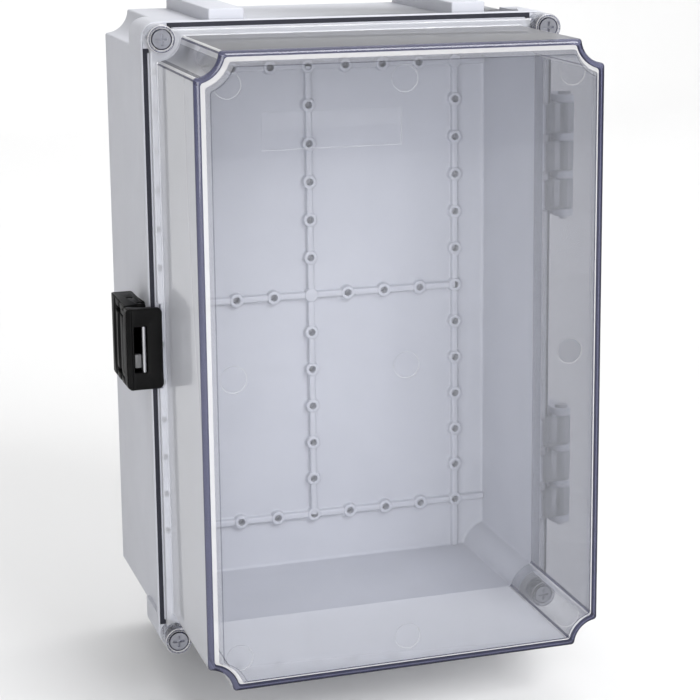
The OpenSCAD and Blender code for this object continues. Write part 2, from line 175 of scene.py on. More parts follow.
def clear_plastic(name, tints, haze, grazing_haze, cloud, grain=0, gleam=0.35):
    """Clear polycarbonate: straight see-through, with a sharp gloss over a faint cloudiness.

    Its tints are (facing, colour) stops, as the wall turns edge on, or follow noise where a grain is given:
    then they paint glints and dark swirls.
    The cloudiness grows from haze to grazing_haze, and gleam is the share of white reflection edge on.
    """
    material, tree, out = new_material(name)
    facing = add(tree, "ShaderNodeLayerWeight", Blend=0.5)
    see = add(tree, "ShaderNodeBsdfTransparent")
    source = noise(tree, grain, 2.0, 0.6) if grain else facing.outputs["Facing"]
    tree.links.new(ramp(tree, source, tints), see.inputs["Color"])
    gloss = add(tree, "ShaderNodeBsdfPrincipled")
    gloss.inputs["IOR"].default_value = POLYCARBONATE_IOR
    gloss.inputs["Base Color"].default_value = (*cloud, 1)
    smudge = noise(tree, 60, 4.0, 0.6)
    tree.links.new(spread(tree, smudge, 0.02, 0.07), gloss.inputs["Roughness"])
    grazing = add(tree, "ShaderNodeMath", operation="POWER")
    tree.links.new(facing.outputs["Facing"], grazing.inputs[0])
    grazing.inputs[1].default_value = GRAZING_POWER
    cloudy = add(tree, "ShaderNodeMixShader")
    tree.links.new(spread(tree, grazing.outputs["Value"], haze, grazing_haze), cloudy.inputs["Fac"])
    tree.links.new(see.outputs["BSDF"], cloudy.inputs[1])
    tree.links.new(gloss.outputs["BSDF"], cloudy.inputs[2])
    mirror = add(tree, "ShaderNodeBsdfAnisotropic")
    mirror.inputs["Color"].default_value = (1, 1, 1, 1)
    tree.links.new(spread(tree, grazing.outputs["Value"], 0.03, 1.2), mirror.inputs["Roughness"])
    mix = add(tree, "ShaderNodeMixShader")
    tree.links.new(spread(tree, grazing.outputs["Value"], 0.03, gleam), mix.inputs["Fac"])
    tree.links.new(cloudy.outputs["Shader"], mix.inputs[1])
    tree.links.new(mirror.outputs["BSDF"], mix.inputs[2])
    tree.links.new(mix.outputs["Shader"], out.inputs["Surface"])
    return material


CLEAR_TINTS = [(0.0, (0.972, 0.975, 0.982)), (0.35, (0.94, 0.945, 0.955)), (0.63, (0.60, 0.603, 0.63)),
               (0.8, (0.52, 0.523, 0.55)), (1.0, (0.36, 0.37, 0.44))]
# Painted shade: the dark navy that refraction gives the rounded edges of the clear parts.
EDGE_TINTS = [(0.0, (0.20, 0.205, 0.31)), (0.3, (0.16, 0.165, 0.27)), (0.6, (0.09, 0.093, 0.17)),
              (1.0, (0.03, 0.032, 0.08))]
# Painted shade: a darker top wall of the cover.
TOP_TINTS = [(0.0, (0.86, 0.865, 0.88)), (0.8, (0.38, 0.383, 0.405)), (1.0, (0.3, 0.31, 0.36))]
# Painted highlight: the bright line just inside a rounded edge of the clear parts.
LINE_TINTS = [(0.0, (0.85, 0.86, 0.87)), (1.0, (0.6, 0.61, 0.64))]
# Painted shade: near-black edges at the cover's lower right.
DARK_TINTS = [(0.0, (0.06, 0.063, 0.13)), (0.5, (0.03, 0.032, 0.085)), (1.0, (0.012, 0.013, 0.04))]
SHADE_TINTS = [(0.0, (0.80, 0.805, 0.83)), (1.0, (0.45, 0.46, 0.52))]
# Painted shade: a thin dark line inside the front's grey strip.
THIN_TINTS = [(0.0, (0.50, 0.505, 0.55)), (1.0, (0.3, 0.31, 0.37))]
# Painted glints and dark swirls in the screw ears, laid out by noise.
SPARK_TINTS = [(0.38, (0.12, 0.125, 0.20)), (0.46, (0.72, 0.73, 0.77)), (0.54, (0.96, 0.965, 0.97)),
               (0.62, (0.42, 0.43, 0.48))]


MATERIALS = {
    "grey_plastic": opaque("grey_moulding", (0.47, 0.48, 0.53), (0.50, 0.51, 0.56), (0.42, 0.56),
                           2600, 0.00004),
    "clear_plastic": clear_plastic("clear_moulding", CLEAR_TINTS, 0.02, 0.9, (0.66, 0.67, 0.70)),
    "black_plastic": opaque("black_moulding", (0.004, 0.004, 0.0042), (0.007, 0.007, 0.0073), (0.38, 0.52),
                            3000, 0.00004, shine=0.07),
    "dark_plastic": opaque("dark_grey_moulding", (0.10, 0.10, 0.105), (0.13, 0.13, 0.135), (0.35, 0.5),
                           3000, 0.00005),
    "gasket_rubber": opaque("seal_rubber", (0.006, 0.007, 0.016), (0.012, 0.013, 0.024), (0.6, 0.85),
                            2200, 0.00012, sheen=0.05),
    "brass": opaque("brass_insert", (0.62, 0.45, 0.18), (0.70, 0.53, 0.25), (0.22, 0.4),
                    1800, 0.00003, metallic=1.0),
    "pin_steel": opaque("ground_steel", (0.34, 0.345, 0.36), (0.42, 0.425, 0.44), (0.25, 0.42),
                        1500, 0.00002, metallic=1.0, stretch=(1, 1, 0.04)),
    "zinc_steel": opaque("zinc_plate", (0.55, 0.56, 0.58), (0.66, 0.67, 0.70), (0.25, 0.45),
                         1300, 0.00002, metallic=1.0),
    "screw_steel": opaque("satin_steel", (0.27, 0.275, 0.31), (0.33, 0.335, 0.37), (0.25, 0.42),
                          1600, 0.00002, metallic=1.0),
}


# Clear finishes that paint light and shade by their tints and cloud colours: dark edges, highlight lines, a
# lighter left wall, a lighter bottom, a darker top, near-black edges, a grey strip, a thin dark line and
# glints.
EDGE_FINISH = clear_plastic("clear_painted_dark_edge", EDGE_TINTS, 0.25, 0.4, (0.18, 0.185, 0.30))
LINE_FINISH = clear_plastic("clear_painted_edge_highlight", LINE_TINTS, 0.4, 0.7, (0.88, 0.87, 0.86))
# Hazier and lighter than the plain clear finish: on the flange and the ear backs, and as painted light on the
# cover's left wall.
RIM_FINISH = clear_plastic("clear_rim", CLEAR_TINTS, 0.42, 0.8, (0.80, 0.81, 0.85))
TOP_FINISH = clear_plastic("clear_top_painted_shade", TOP_TINTS, 0.05, 0.3, (0.42, 0.43, 0.46), gleam=0.2)
# Painted light: the cover's bottom wall made lighter and cloudier than the rest.
BOTTOM_FINISH = clear_plastic("clear_bottom_painted_light", CLEAR_TINTS, 0.68, 0.9, (0.93, 0.935, 0.97))
DARK_FINISH = clear_plastic("clear_painted_near_black_edge", DARK_TINTS, 0.12, 0.2, (0.03, 0.031, 0.08), gleam=0.06)
SHADE_FINISH = clear_plastic("clear_shaded_strip", SHADE_TINTS, 0.25, 0.5, (0.45, 0.455, 0.48), gleam=0.2)
THIN_FINISH = clear_plastic("clear_painted_thin_dark_line", THIN_TINTS, 0.1, 0.4, (0.3, 0.305, 0.33))
SPARK_FINISH = clear_plastic("clear_corner_painted_glints", SPARK_TINTS, 0.12, 0.6, (0.80, 0.81, 0.85), 420)
CLEAR_FINISHES = [MATERIALS["clear_plastic"], EDGE_FINISH, LINE_FINISH, RIM_FINISH, BOTTOM_FINISH, TOP_FINISH]
CLEAR_FINISHES += [DARK_FINISH, SHADE_FINISH, THIN_FINISH, SPARK_FINISH]
PLAIN, EDGE, LINE, RIM_FACE, BOTTOM_FACE, TOP_FACE, DARK, SHADE, THIN, SPARK = range(10)


# ---------- stage, light and camera ----------

AIM = Vector((87.2 * MM, 0, -1.2 * MM))
AZIMUTH = math.radians(19.75)
ELEVATION = math.radians(11.84)
DISTANCE = 1134 * MM
SENSOR = 36.0
FOCAL_SHARE = 2.9656
SHIFT_X = -0.1507
SHIFT_Y = -0.1017
FLOOR_EDGE = -1.95  # where the floor begins, behind the camera


def build_camera():
    """Stands left of the box and a little above it."""
    data = bpy.data.cameras.new("camera")
    data.sensor_width = SENSOR
    data.lens = FOCAL_SHARE * SENSOR
    data.shift_x = SHIFT_X
    data.shift_y = SHIFT_Y
    data.clip_start = 0.01
    data.clip_end = 30
    camera = bpy.data.objects.new("camera", data)
    bpy.context.scene.collection.objects.link(camera)
    level = math.cos(ELEVATION)
    back = Vector((-math.sin(AZIMUTH) * level, -math.cos(AZIMUTH) * level, math.sin(ELEVATION)))
    camera.location = AIM + back * DISTANCE
    camera.rotation_mode = "QUATERNION"
    camera.rotation_quaternion = (-back).to_track_quat("-Z", "Y")
    bpy.context.scene.camera = camera


def build_stage():
    """A pale floor that sweeps up into a pale wall far behind."""
    level = cad_low.z
    radius = 0.8
    far = 2.6
    steps = 16
    line = [(FLOOR_EDGE, level)]
    for k in range(steps + 1):
        turn = math.pi / 2 * k / steps
        line.append((far - radius + radius * math.sin(turn), level + radius * (1 - math.cos(turn))))
    height = 5
    line.append((far, level + height))
    half = 5
    points = [(x, y, z) for y, z in line for x in (-half, half)]
    faces = [(2 * k, 2 * k + 1, 2 * k + 3, 2 * k + 2) for k in range(len(line) - 1)]
    mesh = bpy.data.meshes.new("backdrop")
    mesh.from_pydata(points, [], faces)
    for face in mesh.polygons:
        face.use_smooth = True
    floor = bpy.data.objects.new("backdrop", mesh)
    bpy.context.scene.collection.objects.link(floor)
    material, tree, out = new_material("pale_backdrop")
    shader = add(tree, "ShaderNodeBsdfPrincipled")
    shader.inputs["Roughness"].default_value = 0.9
    shader.inputs["Specular IOR Level"].default_value = 0.1
    shades = [(0, (0.70, 0.70, 0.70)), (1, (0.72, 0.72, 0.72))]
    tree.links.new(ramp(tree, noise(tree, 3), shades), shader.inputs["Base Color"])
    tree.links.new(shader.outputs["BSDF"], out.inputs["Surface"])
    mesh.materials.append(material)


def area_light(name, place, aim, size, power):
    """A rectangular lamp turned to a point, with its size in metres and its power in watts."""
    data = bpy.data.lights.new(name, "AREA")
    data.shape = "RECTANGLE"
    data.size, data.size_y = size
    data.energy = power
    lamp = bpy.data.objects.new(name, data)
    bpy.context.scene.collection.objects.link(lamp)
    lamp.location = place
    lamp.rotation_mode = "QUATERNION"
    lamp.rotation_quaternion = (Vector(aim) - Vector(place)).to_track_quat("-Z", "Y")


def build_light():
    """An even studio, dimmer in front and at the left, with large soft lamps in front, above and behind."""
    world = bpy.data.worlds.new("studio")
    bpy.context.scene.world = world
    world.use_nodes = True
    tree = world.node_tree
    place = add(tree, "ShaderNodeTexCoord")
    split = add(tree, "ShaderNodeSeparateXYZ")
    tree.links.new(place.outputs["Generated"], split.inputs["Vector"])
    both = add(tree, "ShaderNodeMath", operation="MULTIPLY")
    tree.links.new(spread(tree, split.outputs["Y"], 0.7, 1.0, -0.9, 0.3), both.inputs[0])
    tree.links.new(spread(tree, split.outputs["X"], 0.16, 1.0, -0.9, 0.1), both.inputs[1])
    tree.links.new(both.outputs["Value"], tree.nodes["Background"].inputs["Strength"])
    tree.nodes["Background"].inputs["Color"].default_value = (1, 1, 1, 1)
    centre = (0, -0.09, 0)
    area_light("key", (0.6, -1.6, 1.2), centre, (0.9, 0.9), 27)
    area_light("fill", (-0.9, -1.85, 0.4), centre, (1.2, 1.2), 25)
    area_light("top", (0.4, 0.3, 1.7), centre, (1.6, 1.2), 5)
    area_light("backdrop", (0.5, 1.0, 2.4), (1.0, 2.6, 0.6), (3.0, 1.0), 50)
    bpy.context.scene.view_settings.view_transform = "Standard"


# ---------- mesh tools ----------

SHARP = math.radians(35)


def link(name, mesh, slot, body, *nodes):
    """Adds a piece: its finish, the body it rides on and the CAD nodes it stands for."""
    piece = bpy.data.objects.new(name, mesh)
    bpy.context.scene.collection.objects.link(piece)
    if not mesh.materials:
        mesh.materials.append(MATERIALS[slot])
    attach(piece, body)
    if nodes:
        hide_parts(*nodes)
    return piece


def shade(mesh):
    """Smooth faces, with sharp edges where they meet at a clear angle."""
    mesh.shade_smooth()
    mesh.set_sharp_from_angle(angle=math.radians(32))


def object_of(mesh):
    """A passing object that holds a mesh."""
    holder = bpy.data.objects.new("work", mesh)
    bpy.context.scene.collection.objects.link(holder)
    return holder


def baked(obj):
    """The object's mesh with its modifiers applied. The object itself is removed."""
    depsgraph = bpy.context.evaluated_depsgraph_get()
    mesh = bpy.data.meshes.new_from_object(obj.evaluated_get(depsgraph))
    bpy.data.objects.remove(obj)
    return mesh


def copied(node):
    """A copy of a CAD node's mesh, without a finish."""
    mesh = frame["nodes"][node].data.copy()
    work = bmesh.new()
    work.from_mesh(mesh)
    bmesh.ops.remove_doubles(work, verts=work.verts, dist=1e-6)
    work.to_mesh(mesh)
    work.free()
    mesh.materials.clear()
    return mesh


def softened(mesh, width):
    """The mesh with its sharp edges rounded."""
    work = bmesh.new()
    work.from_mesh(mesh)
    bmesh.ops.remove_doubles(work, verts=work.verts, dist=1e-6)
    bmesh.ops.dissolve_limit(work, angle_limit=math.radians(0.6), verts=work.verts, edges=work.edges)
    work.to_mesh(mesh)
    work.free()
    holder = object_of(mesh)
    bevel = holder.modifiers.new("rounding", "BEVEL")
    bevel.width = width
    bevel.segments = 2
    bevel.limit_method = "ANGLE"
    bevel.angle_limit = SHARP
    bevel.use_clamp_overlap = False
    bevel.miter_outer = "MITER_ARC"
    made = baked(holder)
    made.materials.clear()
    shade(made)
    return made


SLOT_OF = {row["node"]: row["material_slot"] for row in frame["record"]["subparts"]}
BODY_OF = {node: body for body, nodes in frame["record"]["behaviour"]["bodies"].items() for node in nodes}


# ---------- outlines: loops of (x, z), counterclockwise from the right-hand side ----------

FILLET_STEPS = 5
ARC_STEPS = 14


def arc(centre, radius, start, end, steps):
    """Points on an arc, both ends included."""
    turns = [start + (end - start) * k / steps for k in range(steps + 1)]
    return [(centre[0] + radius * math.cos(t), centre[1] + radius * math.sin(t)) for t in turns]


def all_corners(quarter):
    """A whole outline from the points of its upper right corner."""
    outline = []
    for sx, sz in CORNERS:
        corner = [(sx * x, sz * z) for x, z in quarter]
        outline += corner if sx * sz > 0 else corner[::-1]
    return outline


def notched(half_w, half_h, centre, radius, fillet):
    """A rectangle whose corners are hollowed by circles about the centre, each hollow with rounded edges."""
    right = half_w - fillet
    top = half_h - fillet
    low = (right, centre[1] - math.sqrt((radius + fillet) ** 2 - (centre[0] - right) ** 2))
    high = (centre[0] - math.sqrt((radius + fillet) ** 2 - (centre[1] - top) ** 2), top)
    a = math.atan2(centre[1] - low[1], centre[0] - low[0])
    b = math.atan2(centre[1] - high[1], centre[0] - high[0])
    quarter = arc(low, fillet, 0, a, FILLET_STEPS)
    quarter += arc(centre, radius, a + math.pi, b + math.pi, ARC_STEPS)[1:-1]
    quarter += arc(high, fillet, b, math.pi / 2, FILLET_STEPS)
    return all_corners(quarter)


def rounded(half_w, half_h, radius):
    """A rectangle with round corners, with as many points as a notched one."""
    steps = 2 * FILLET_STEPS + ARC_STEPS
    return all_corners(arc((half_w - radius, half_h - radius), radius, 0, math.pi / 2, steps))


def fillet_finish(k, width):
    """The finish of a column of faces of a lofted notched outline.

    Each rounded edge of a hollow corner has a painted highlight line, as wide as width steps, and a painted
    dark line.
    """
    place = k % (2 * FILLET_STEPS + ARC_STEPS + 1)
    if place >= FILLET_STEPS + ARC_STEPS:
        place -= FILLET_STEPS + ARC_STEPS
    if place >= FILLET_STEPS:
        return PLAIN
    return LINE if place < width else EDGE


def loft(rings, close_start=True, close_end=True, finish=None):
    """A mesh through rings, each a (depth, outline), with a flat face over the first and the last.

    finish gives the material index of a face from its band and its column.
    """
    work = bmesh.new()
    rows = [[work.verts.new((x, -depth, z)) for x, z in outline] for depth, outline in rings]
    count = len(rows[0])
    for band, (low, high) in enumerate(zip(rows, rows[1:])):
        for k in range(count):
            nxt = (k + 1) % count
            face = work.faces.new((low[k], low[nxt], high[nxt], high[k]))
            face.material_index = finish(band, k) if finish else 0
    if close_start:
        work.faces.new(rows[0][::-1])
    if close_end:
        work.faces.new(rows[-1])
    bmesh.ops.recalc_face_normals(work, faces=work.faces)
    return work


def finished(work, name):
    """The mesh of a bmesh, which is freed."""
    mesh = bpy.data.meshes.new(name)
    work.to_mesh(mesh)
    work.free()
    return mesh


def boolean(mesh, other, operation, finishes=()):
    """The first mesh with the second one added to it or cut from it."""
    for part in (mesh, other):
        for finish in finishes[len(part.materials):]:
            part.materials.append(finish)
    holder = object_of(mesh)
    tool = object_of(other)
    change = holder.modifiers.new("change", "BOOLEAN")
    change.operation = operation
    change.solver = "EXACT"
    change.use_self = operation == "UNION"
    change.object = tool
    made = baked(holder)
    bpy.data.objects.remove(tool)
    return made


def joined(works, name="joined"):
    """One mesh of several bmeshes."""
    whole = bmesh.new()
    for work in works:
        part = finished(work, "part")
        whole.from_mesh(part)
        bpy.data.meshes.remove(part)
    return finished(whole, name)


# ---------- small solids ----------

# How many sides the round shapes have.
DISC_STEPS = 48
BOSS_STEPS = 36
HOLE_STEPS = 32
KNUCKLE_STEPS = 26
PILOT_STEPS = 24


def lathe(profile, place, steps, finish=None):
    """A ring or disc turned about an axis along depth, at an (x, z) place.

    profile is a closed list of (radius, depth), and finish a list of material indices, one per side of it.
    """
    work = bmesh.new()
    columns = []
    for k in range(steps):
        t = 2 * math.pi * k / steps
        columns.append([work.verts.new((r * math.cos(t), -d, r * math.sin(t))) for r, d in profile])
    for k in range(steps):
        here, there = columns[k], columns[(k + 1) % steps]
        for i in range(len(profile)):
            j = (i + 1) % len(profile)
            face = work.faces.new((here[i], here[j], there[j], there[i]))
            face.material_index = finish[i] if finish else 0
    bmesh.ops.remove_doubles(work, verts=work.verts, dist=1e-8)
    bmesh.ops.dissolve_degenerate(work, edges=work.edges, dist=1e-8)
    bmesh.ops.translate(work, verts=work.verts, vec=(place[0], 0, place[1]))
    bmesh.ops.recalc_face_normals(work, faces=work.faces)
    return work


def rounded_edges(work, edges, width):
    """Rounds some edges of a bmesh."""
    bmesh.ops.bevel(
        work, geom=edges, offset=width, segments=3, profile=0.5, affect="EDGES", clamp_overlap=True
    )


def bar(outline, low, high, round_r):
    """A straight bar along Z from an outline in (x, y), with its sharp edges rounded."""
    work = bmesh.new()
    bottom = [work.verts.new((x, y, low)) for x, y in outline]
    top = [work.verts.new((x, y, high)) for x, y in outline]
    count = len(outline)
    for k in range(count):
        nxt = (k + 1) % count
        work.faces.new((bottom[k], bottom[nxt], top[nxt], top[k]))
    work.faces.new(bottom[::-1])
    work.faces.new(top)
    bmesh.ops.recalc_face_normals(work, faces=work.faces)
    if round_r:
        rounded_edges(work, [e for e in work.edges if e.calc_face_angle(0) > SHARP], round_r)
    return work


def block(low, high, round_r):
    """A box with rounded edges."""
    outline = [(low[0], low[1]), (high[0], low[1]), (high[0], high[1]), (low[0], high[1])]
    return bar(outline, low[2], high[2], round_r)


def rounding(radius, steps=5):
    """(inset, rise) pairs of a quarter round, from the side wall to the face."""
    turns = [math.pi / 2 * k / steps for k in range(steps + 1)]
    return [(radius * (1 - math.cos(t)), radius * math.sin(t)) for t in turns]


# ---------- clear cover ----------

COVER_HALF_W = 95.3 * MM
COVER_HALF_H = COVER_HALF_W + HALF_H - HALF_W
COVER_NOTCH_R = NOTCH_R - 0.1 * MM
COVER_T = 2.8 * MM
FRONT_T = 3 * MM
EDGE_R = 2.4 * MM
INNER_EDGE_R = 0.6 * MM
# Strips of painted shade and highlight along the front's edge, wider at the left and top: a dark strip,
# a bright line, a grey band and a thin dark line. Each says how far in it ends and how far that end is
# moved to the lower right, both in mm, and its finish.
FRONT_STRIPS = [(0.75, -0.5, DARK), (1.95, 0.35, LINE), (3.15, 1.19, SHADE), (3.45, 1.39, THIN)]
NOTCH_FILLET = 1.1 * MM
COVER_FILLET = 1.7 * MM
# A normal counts as straight along an axis when the square of that part of it is above this.
STRAIGHT = 0.9
FLANGE_BACK = RIM + 0.3 * MM
FLANGE_T = 4 * MM
FLANGE_FRONT = FLANGE_BACK + FLANGE_T
FLANGE_IN = 1.6 * MM
FLANGE_CORNER = 6 * MM
EAR_R = 6.6 * MM
EAR_FRONT = FLANGE_FRONT + 8.2 * MM
SEAT_R = 4.9 * MM
SEAT_DEPTH = FLANGE_BACK + 2.85 * MM
SHANK_HOLE_R = 2.2 * MM
pin_low, pin_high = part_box("hinge_pin_upper")
HINGE_X = (pin_low.x + pin_high.x) / 2
HINGE_Z = (pin_low.z + pin_high.z) / 2
PIN_R = 2 * MM
PIN_PLAY = 0.06 * MM
KNUCKLE_R = 4.8 * MM
KNUCKLE_H = 14.6 * MM
KNUCKLE_PITCH = 19 * MM
MARK_R = 6.2 * MM
DIM_MARK = 7
MARK_IN = 15 * MM
# The blank recessed panel in the front, between two (x, z) corners.
PANEL_LOW = (-66.25 * MM, 101.45 * MM)
PANEL_HIGH = (-2.75 * MM, 118.15 * MM)
PANEL_DEEP = 0.4 * MM
LATCH_NOTCH_IN = 3.1 * MM
LATCH_GAP = 0.9 * MM


def cover_outline(grow):
    """The outline of the cover's walls, moved outward by grow."""
    centre = (COVER_HALF_W, COVER_HALF_H)
    return notched(COVER_HALF_W + grow, COVER_HALF_H + grow, centre, COVER_NOTCH_R - grow, COVER_FILLET)


def flange_outline(grow):
    """The outline of the cover's flange, moved outward by grow."""
    return rounded(HALF_W - FLANGE_IN + grow, HALF_H - FLANGE_IN + grow, FLANGE_CORNER)


def cover_shell():
    """Flange, walls and front in one closed skin: up the outside, then back down the inside."""
    soft = 0.6 * MM
    flange = [(FLANGE_BACK, flange_outline(-soft)), (FLANGE_BACK + soft, flange_outline(0))]
    flange += [(FLANGE_FRONT - soft + rise, flange_outline(-inset)) for inset, rise in rounding(soft, 3)]
    foot = [(FLANGE_FRONT + rise, cover_outline(soft - inset)) for inset, rise in rounding(soft, 3)]
    edge = [(FRONT - EDGE_R + rise, cover_outline(-inset)) for inset, rise in rounding(EDGE_R, 6)]
    strips = []
    for inset, shift, _ in FRONT_STRIPS:
        outline = cover_outline(-EDGE_R - inset * MM)
        strips.append((FRONT, [(x + shift * MM, z - shift * MM) for x, z in outline]))
    wall_band = len(flange) + len(foot) - 1
    first_strip = wall_band + len(edge)

    # Outer faces: a hazier flange, painted lines at the wall's hollow corners, a painted dark rounded front
    # edge, then the painted front strips.
    def outer_finish(band, k):
        if band < wall_band:
            return RIM_FACE
        if band == wall_band:
            return fillet_finish(k, 3)
        return EDGE if band < first_strip else FRONT_STRIPS[band - first_strip][2]

    outside = loft(flange + foot + edge + strips, close_start=False, finish=outer_finish)
    deep = COVER_T + INNER_EDGE_R
    bend = rounding(INNER_EDGE_R, 3)
    inner_wall = len(bend)
    inner = [(FRONT - FRONT_T, cover_outline(-deep - 0.4 * MM))]
    inner += [
        (FRONT - FRONT_T - INNER_EDGE_R + rise, cover_outline(-COVER_T - inset))
        for inset, rise in reversed(bend)
    ]
    inner += [(FLANGE_BACK, cover_outline(-COVER_T)), (FLANGE_BACK, flange_outline(-soft))]

    # The inner skin's rounded edge gets the painted dark edge, with painted lines at the hollow corners.
    def inner_finish(band, k):
        if band == 0 or band > inner_wall:
            return PLAIN
        return EDGE if band < inner_wall else fillet_finish(k, 2)

    inside = loft(inner, close_end=False, finish=inner_finish)
    mesh = joined([outside, inside], "shell")
    work = bmesh.new()
    work.from_mesh(mesh)
    bmesh.ops.remove_doubles(work, verts=work.verts, dist=1e-6)
    bmesh.ops.recalc_face_normals(work, faces=work.faces)
    for face in work.faces:
        middle = face.calc_center_median()
        # Painted shade: front edge faces at the lower right, and edge faces that face right or down, get the
        # near-black finish.
        lower_right = middle.x > 0.85 * COVER_HALF_W or middle.z < -0.9 * COVER_HALF_H
        if face.material_index == DARK and not lower_right:
            face.material_index = EDGE
        if face.material_index == EDGE and middle.y < -FRONT + EDGE_R and face.normal.x - face.normal.z > 0.2:
            face.material_index = DARK
        if face.material_index != PLAIN:
            continue
        level = face.normal.z ** 2 > STRAIGHT
        # Painted light: the bottom wall gets a lighter finish.
        if level and middle.z < -COVER_HALF_W:
            face.material_index = BOTTOM_FACE
        # Painted shade: the top wall gets a darker finish.
        if level and middle.z > COVER_HALF_W:
            face.material_index = TOP_FACE
        # Painted light: the left wall gets the lighter, hazier finish.
        if face.normal.x ** 2 > STRAIGHT and middle.x < -COVER_HALF_W / 2:
            face.material_index = RIM_FACE
    bpy.data.meshes.remove(mesh)
    return finished(work, "shell")


def ear(place):
    """The raised ring round a cover screw, with a seat for its seal."""
    soft = 0.8 * MM
    profile = [(SHANK_HOLE_R, FLANGE_BACK), (EAR_R, FLANGE_BACK)]
    profile += [(EAR_R - inset, EAR_FRONT - soft + rise) for inset, rise in rounding(soft, 4)]
    profile += [(SEAT_R + 0.4 * MM, EAR_FRONT), (SEAT_R, EAR_FRONT - 0.4 * MM)]
    profile += [(SEAT_R, SEAT_DEPTH), (SHANK_HOLE_R, SEAT_DEPTH)]
    # Painted light on the ear's faces: glints, dark edges and highlight lines; the back is the hazier rim
    # finish.
    finish = [RIM_FACE, SPARK, EDGE, LINE, LINE, EDGE, SPARK, LINE, EDGE, SPARK, PLAIN]
    return lathe(profile, place, DISC_STEPS, finish)


def hole(radius, back, front, place, steps=HOLE_STEPS):
    """A round cutter between two depths."""
    return lathe([(0, back), (radius, back), (radius, front), (0, front)], place, steps)


def mark(place, face):
    """A shallow disc that an ejector pin leaves inside the front. face is its own material index."""
    back = FRONT - FRONT_T - 0.3 * MM
    front = back + 1 * MM
    profile = [(0, back), (MARK_R - 0.2 * MM, back), (MARK_R, back + 0.2 * MM), (MARK_R, front), (0, front)]
    # Painted highlight on the disc's chamfer and a painted dark edge on its side.
    return lathe(profile, place, DISC_STEPS, [face, LINE, EDGE, PLAIN, PLAIN])


def knuckle(z):
    """A block on the flange that turns on a hinge pin."""
    flange_side = math.radians(183.6)
    outline = [(HALF_W - FLANGE_IN - 2 * MM, -FLANGE_BACK)]
    outline += arc((HINGE_X, -RIM), KNUCKLE_R, flange_side, -math.pi / 2, KNUCKLE_STEPS)
    outline += [(HALF_W - FLANGE_IN, -FLANGE_FRONT - 1.5 * MM)]
    in_wall = COVER_HALF_W - OVERLAP
    outline += [(in_wall, -FLANGE_FRONT - 6 * MM), (in_wall, -FLANGE_BACK - OVERLAP)]
    work = bar(outline, z - KNUCKLE_H / 2, z + KNUCKLE_H / 2, 0.4 * MM)
    for face in work.faces:
        face.material_index = SHADE
    return work


def bore(low, high):
    """A cylinder along Z through a hinge's knuckles."""
    last = HOLE_STEPS - 1
    outline = arc((HINGE_X, -RIM), PIN_R + PIN_PLAY, 0, 2 * math.pi * last / HOLE_STEPS, last)
    return bar(outline, low, high, 0)


def build_cover():
    """The shell, less its holes, panel and latch notch, with ears, ejector marks and bored knuckles."""
    shell = cover_shell()
    places = [(sx * SCREW_X, sz * SCREW_Z) for sx, sz in CORNERS]
    back = FLANGE_BACK - OVERLAP
    front = EAR_FRONT + 2 * OVERLAP
    stepped = [(0, back), (SHANK_HOLE_R, back), (SHANK_HOLE_R, SEAT_DEPTH)]
    stepped += [(SEAT_R, SEAT_DEPTH), (SEAT_R, front), (0, front)]
    cuts = [lathe(stepped, p, HOLE_STEPS) for p in places]
    panel_low = (PANEL_LOW[0], -FRONT - OVERLAP, PANEL_LOW[1])
    panel_high = (PANEL_HIGH[0], -FRONT + PANEL_DEEP, PANEL_HIGH[1])
    panel = block(panel_low, panel_high, 0.3 * MM)
    # Painted highlight: the panel's side walls get the bright line finish.
    for face in panel.faces:
        face.material_index = LINE if abs(face.normal.y) < 0.7 else PLAIN
    cuts.append(panel)
    latch_low, latch_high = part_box("latch_claw")
    notch_low = (-HALF_W - 5 * MM, -FLANGE_FRONT - OVERLAP, latch_low.z - LATCH_GAP)
    notch_high = (-HALF_W + LATCH_NOTCH_IN, -FLANGE_BACK + OVERLAP, latch_high.z + LATCH_GAP)
    cuts.append(block(notch_low, notch_high, 0.2 * MM))
    mark_x = COVER_HALF_W - MARK_IN
    mark_z = COVER_HALF_H - MARK_IN
    marks = [(i * mark_x, j * mark_z) for i in (-1, 0, 1) for j in (-1, 0, 1)]
    knuckles = [knuckle(side * HINGE_Z + k * KNUCKLE_PITCH) for side in (1, -1) for k in (-1, 0, 1)]
    bores = [bore(side * HINGE_Z - 2 * KNUCKLE_PITCH, side * HINGE_Z + 2 * KNUCKLE_PITCH) for side in (1, -1)]
    adds = [ear(p) for p in places]
    adds += [mark(p, TOP_FACE if k == DIM_MARK else PLAIN) for k, p in enumerate(marks)]
    adds += knuckles
    body = boolean(shell, joined(cuts), "DIFFERENCE", CLEAR_FINISHES)
    body = boolean(body, joined(adds), "UNION", CLEAR_FINISHES)
    body = boolean(body, joined(bores), "DIFFERENCE", CLEAR_FINISHES)
    body.validate()
    shade(body)
    link("cover_moulding", body, "clear_plastic", "cover", "clear_cover")


# ---------- pieces made from the CAD's own meshes ----------


def dress_frame():
    """Every CAD node gets its finish, also those that stay hidden behind a piece."""
    for name, node in frame["nodes"].items():
        node.data.materials.clear()
        node.data.materials.append(MATERIALS[SLOT_OF[name]])


def kept_inside(mesh, envelope, finishes):
    """The part of a mesh that lies inside an envelope."""
    return boolean(mesh, finished(envelope, "envelope"), "INTERSECT", finishes)


